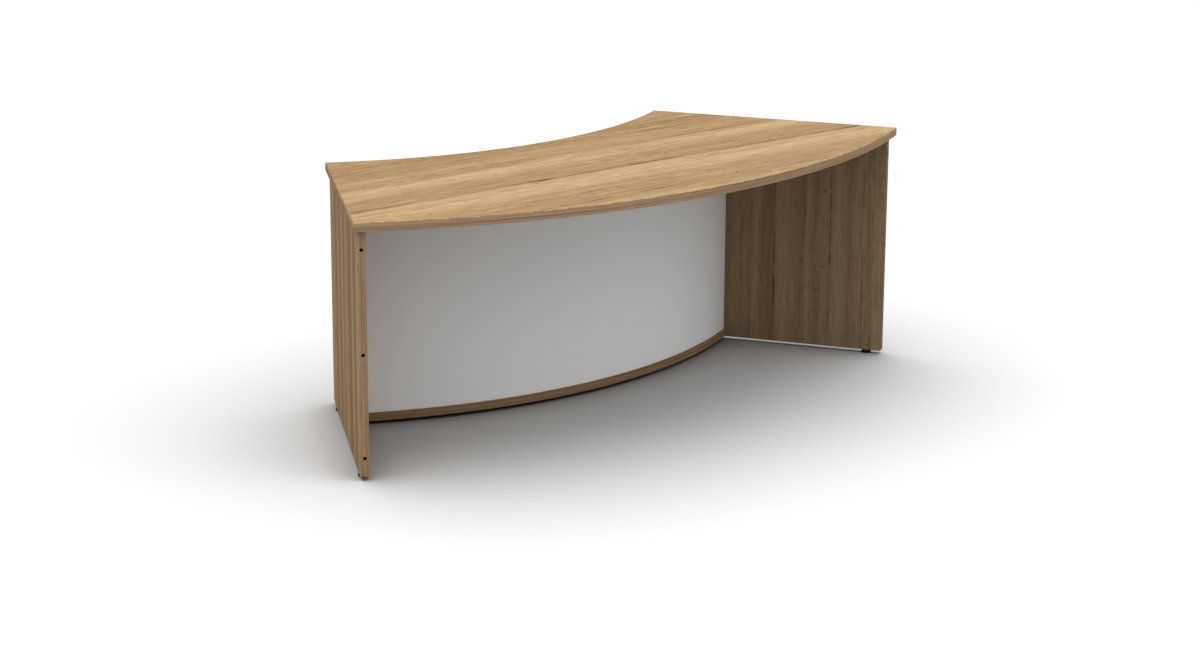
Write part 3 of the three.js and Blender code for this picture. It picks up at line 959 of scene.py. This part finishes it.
def screwHoles():
    return [placed(screwShape(screw["radius"], clearance["bore"]), place) for place in screwPlaces.values()]


def dowelHole(side, rail):
    hole = rodBetween(
        dowelPoint(side, panelInner - dowel["inPanel"] - clearance["bore"], rail),
        dowelPoint(side, panelInner + dowel["inRail"] + clearance["bore"], rail),
        dowel["radius"] + clearance["bore"],
    )
    return placed(hole, endPlace(side))


def sleeveHoles(side):
    holes = []
    depth = overcut + sleeve["recess"] + sleeve["length"] + clearance["bore"]
    for height in sleeveHeights.values():
        start = endPoint(side, panelMiddle, desk["frontSetback"] - overcut, height)
        hole = rodBetween(start, start + backward * depth, sleeve["radius"] + clearance["bore"])
        holes.append(placed(hole, endPlace(side)))
    return holes


def footHoles(side, back):
    holes = []
    for radius, top in ((foot["insert"], insertTop), (foot["thread"]["crest"], studTop)):
        hole = rodBetween(
            endPoint(side, panelMiddle, back, desk["floorGap"] - overcut),
            endPoint(side, panelMiddle, back, top + clearance["bore"]),
            radius + clearance["bore"],
        )
        holes.append(placed(hole, endPlace(side)))
    return holes


# Curved boards and strips: a section is drawn past one end, spun round the fan's centre and cut off at
# both ends. An edging's corners are rounded on its outer face.
edgingArris = {"offset": 1.5 * mm, "segments": 4}
spareSweep = math.radians(1)


def spunPiece(inner, outer, bottom, top, inset, roundFrom=None, groove=None):
    reach = desk["halfSweep"] + spareSweep
    middle = (inner + outer) / 2
    piece = begin(
        bpy.ops.mesh.primitive_plane_add,
        (top - bottom, outer - inner, 1),
        size=1,
        location=fanPoint(reach, middle, (bottom + top) / 2),
        rotation=(0, math.pi / 2, reach),
    )
    if roundFrom:
        pick("VERT", lambda vert: (fanRadius(vert.co) > middle) == (roundFrom == "outside"))
        bpy.ops.mesh.bevel(**edgingArris, affect="VERTICES")
    if groove:
        radial = fanPoint(reach, 1, 0) - fanCentre
        for point, normal in (
            (fanPoint(reach, groove["inner"], 0), radial),
            (fanPoint(reach, groove["outer"], 0), radial),
            (Vector((0, 0, groove["floor"])), upright),
        ):
            bpy.ops.mesh.select_all(action="SELECT")
            bpy.ops.mesh.bisect(plane_co=point, plane_no=normal)

        def inGroove(face):
            centre = face.calc_center_median()
            inside = groove["inner"] < fanRadius(centre) < groove["outer"]
            return inside and (centre.z > groove["floor"]) == groove["opensUp"]

        pick("FACE", inGroove)
        bpy.ops.mesh.delete(type="FACE")
    bpy.ops.mesh.select_all(action="SELECT")
    bpy.ops.mesh.spin(steps=desk["arcSteps"], angle=2 * reach, center=fanCentre, axis=upright)
    for side in sides.values():
        place = endPlace(side)
        cutAway(place @ endPoint(side, inset, 0, 0), place.to_3x3() @ Vector((side, 0, 0)))
    closeUp()
    return piece


def spunEdging(node, finish, inner, inset, bottom, roundFrom):
    strip = spunPiece(inner, inner + desk["edging"], bottom, bottom + desk["board"], inset, roundFrom)
    finishPiece(strip, "abs", node, finish)


# Desktop: board, two curved edgings and two straight ones
board = spunPiece(rearRadius + underEdging, frontRadius - underEdging, underTop, topFace, underEdging)
combine(board, [
    threadHole(place) for name, place in fittingPlaces.items() if name.endswith("desktop_")
] + screwHoles(), "DIFFERENCE")
finishPiece(board, "oak", "desktop_board", "top")
spunEdging("desktop_front_edging", "edging", frontRadius - desk["edging"], 0, underTop, "outside")
spunEdging("desktop_rear_edging", "edging", rearRadius, 0, underTop, "inside")


def onOuterEdge(edge):  # the long edges of a strip's outer face
    first, second = (vert.co for vert in edge.verts)
    return abs(first.x) < near and abs(second.x) < near and abs(first.z - second.z) < near


for name, side in sides.items():
    start = endPoint(side, 0, underEdging, underTop)
    stop = endPoint(side, desk["edging"], desk["topDepth"] - underEdging, topFace)
    strip = beginBlock(start, stop)
    pick("EDGE", onOuterEdge)
    bpy.ops.mesh.bevel(**edgingArris, affect="EDGES")
    closeUp()
    finishPiece(strip, "abs", f"desktop_{name}_edging", "endEdging", endPlace(side))
print("desktop made")

# Curved front panel between its two rails
screenLow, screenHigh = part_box("curved_front_panel")
panel = spunPiece(screenRadius - screen["thickness"], screenRadius, screenLow.z, screenHigh.z, railInset)
finishPiece(panel, "white", "curved_front_panel", "white")

for node, opensUp in (("base_rail", True), ("top_rail", False)):
    railLow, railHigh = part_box(node)
    groove = {
        "inner": screenRadius - screen["thickness"] - desk["glueLine"],
        "outer": screenRadius + desk["glueLine"],
        "floor": railHigh.z - screen["groove"] if opensUp else railLow.z + screen["groove"],
        "opensUp": opensUp,
    }
    rail = spunPiece(
        railInner + underEdging, railOuter - underEdging, railLow.z, railHigh.z, railInset, groove=groove,
    )
    holes = []
    for name, side in sides.items():
        holes += clampedHoles(fittingPlaces[f"{name}_{node}_"]) + [dowelHole(side, node)]
    if node == "top_rail":
        holes += screwHoles()
    combine(rail, holes, "DIFFERENCE")
    finishPiece(rail, "oak", node, "top")
    railFront = railOuter - desk["edging"]
    spunEdging(node + "_front_edging", "railEdging", railFront, railInset, railLow.z, "outside")
    spunEdging(node + "_rear_edging", "railEdging", railInner, railInset, railLow.z, "inside")
print("front panel and rails made")

# End panels: one rounded blank, sliced into the board and its two edgings
endPanel = {"corner": {"offset": 4 * mm, "segments": 6}, "arris": {"offset": 1.4 * mm, "segments": 3}}


def atFoot(edge):  # the two edges across the panel's bottom corners
    first, second = (vert.co for vert in edge.verts)
    return max(first.z, second.z) < desk["floorGap"] + near and abs(first.y - second.y) < near


def onArris(edge, ends):  # the long edges round the panel's front and rear, corners included
    first, second = (vert.co for vert in edge.verts)
    reach = endPanel["corner"]["offset"]
    nearEnd = all(min(abs(point.y - end) for end in ends) < reach + near for point in (first, second))
    return nearEnd and abs(first.x - second.x) < near and abs(first.y - second.y) < reach


def slicedFrom(blank, side, fromBack, toBack):
    part = copyOf(blank)
    soleActive(part)
    bpy.ops.object.mode_set(mode="EDIT")
    cutAway(endPoint(side, 0, fromBack, 0), -backward)
    cutAway(endPoint(side, 0, toBack, 0), backward)
    closeUp()
    return placed(part, endPlace(side))


for name, side in sides.items():
    start = endPoint(side, desk["overhang"], desk["frontSetback"], desk["floorGap"])
    stop = endPoint(side, panelInner, panelRear, underTop)
    blank = beginBlock(start, stop)
    pick("EDGE", atFoot)
    bpy.ops.mesh.bevel(**endPanel["corner"], affect="EDGES")
    pick("EDGE", lambda edge: onArris(edge, (start.y, stop.y)))
    bpy.ops.mesh.bevel(**endPanel["arris"], affect="EDGES")
    closeUp()
    board = slicedFrom(blank, side, desk["frontSetback"] + underEdging, panelRear - underEdging)
    front = slicedFrom(blank, side, 0, desk["frontSetback"] + desk["edging"])
    rear = slicedFrom(blank, side, panelRear - desk["edging"], desk["topDepth"])
    bpy.data.objects.remove(blank)
    combine(front, sleeveHoles(side), "DIFFERENCE")
    holes = sleeveHoles(side)
    for back in footBacks.values():
        holes += footHoles(side, back)
    for which in cam["desktopBacks"]:
        holes += clampedHoles(fittingPlaces[f"{name}_{which}_desktop_"])
    for rail in railHeights:
        holes += [threadHole(fittingPlaces[f"{name}_{rail}_"]), dowelHole(side, rail)]
    combine(board, holes, "DIFFERENCE")
    finishPiece(board, "oak", f"{name}_end_panel", name)
    finishPiece(front, "abs", f"{name}_panel_front_edging", name + "Edging")
    finishPiece(rear, "abs", f"{name}_panel_rear_edging", name + "Edging")
print("end panels made")

# Camera, fitted to the photographed edges
view = {
    "place": (-5.3331, -6.1910, 2.4371),
    "yaw": math.radians(-40.757),
    "pitch": math.radians(15.329),  # below the horizon
    "roll": math.radians(0.319),
    "lens": 84.786,
    "sensor": 36,
}
bpy.ops.object.camera_add(location=view["place"])
camera = bpy.context.object
heading = Euler((math.pi / 2 - view["pitch"], 0, view["yaw"])).to_matrix()
camera.rotation_euler = (heading @ Matrix.Rotation(view["roll"], 3, "Z")).to_euler()
camera.data.sensor_fit = "HORIZONTAL"
camera.data.sensor_width = view["sensor"]
camera.data.lens = view["lens"]
bpy.context.scene.camera = camera

# White paper floor under a soft sky, brightest overhead, with a wide low fill from the front right
studio = {
    "floor": 120,
    "floorTone": "#e6e6e6",
    "bounceTone": "#9a9a9a",
    # contact shading: its reach, how deep it gets, and how open the place is where it starts
    "shades": ((1.2, 0.55, 1), (0.12, 0.5, 1), (0.06, 0.95, 0.35)),
    "zenith": 2.18,
    "horizon": 0.2,
    "falloff": 2,
    "brightest": (-0.1, 0.1, 0.99),
    "fill": 1.08,
    "fillFrom": (0.532, -0.76, 0.375),
    "fillSpread": 6,
    "backdrop": 1,
}
floor = begin(bpy.ops.mesh.primitive_plane_add, size=studio["floor"])
bpy.ops.object.mode_set(mode="OBJECT")
floor.name = "studio_floor"
paper, tree, shader, place = newMaterial("white_paper")
tooth = addNode(tree, "TexNoise", {"Vector": place, "Scale": 1 / (4 * mm), "Detail": 2}).outputs["Fac"]
shaded = linear(studio["floorTone"])
for reach, depth, start in studio["shades"]:
    openness = addNode(tree, "AmbientOcclusion", {"Distance": reach}, samples=8).outputs["AO"]
    contact = addNode(tree, "MapRange", {
        "Value": openness, "From Max": start, "To Min": 1 - depth, "To Max": 1,
    }).outputs[0]
    shaded = addNode(tree, "Mix", {0: contact, 6: (0, 0, 0, 1), 7: shaded}, data_type="RGBA").outputs[2]
bounced = addNode(tree, "LightPath").outputs["Is Diffuse Ray"]
setInputs(tree, shader, {
    "Base Color": addNode(tree, "Mix", {
        0: bounced, 6: shaded, 7: linear(studio["bounceTone"]),
    }, data_type="RGBA").outputs[2],
    "Roughness": addNode(tree, "MapRange", {"Value": tooth, "To Min": 0.6, "To Max": 0.7}).outputs[0],
    "Specular IOR Level": 0.1,
})
floor.data.materials.append(paper)

world = bpy.data.worlds.new("soft_sky")
bpy.context.scene.world = world
world.use_nodes = True
tree = world.node_tree
outward = addNode(tree, "TexCoord").outputs["Generated"]
lobes = []
for towards, power in ((studio["brightest"], studio["falloff"]), (studio["fillFrom"], studio["fillSpread"])):
    facing = addNode(tree, "VectorMath", {0: outward, 1: towards}, operation="DOT_PRODUCT").outputs["Value"]
    ahead = addNode(tree, "Math", {0: facing, 1: 0}, operation="MAXIMUM").outputs[0]
    lobes.append(addNode(tree, "Math", {0: ahead, 1: power}, operation="POWER").outputs[0])
overhead = addNode(tree, "MapRange", {
    "Value": lobes[0], "To Min": studio["horizon"], "To Max": studio["horizon"] + studio["zenith"],
}).outputs[0]
light = addNode(tree, "Math", {
    0: lobes[1], 1: studio["fill"], 2: overhead,
}, operation="MULTIPLY_ADD").outputs[0]
seen = addNode(tree, "LightPath").outputs["Is Camera Ray"]
setInputs(tree, tree.nodes["Background"], {
    "Color": (1, 1, 1, 1),
    "Strength": addNode(tree, "Mix", {0: seen, 2: light, 3: studio["backdrop"]}).outputs[0],
})
bpy.context.scene.view_settings.view_transform = "Standard"
print("camera, floor and light made")
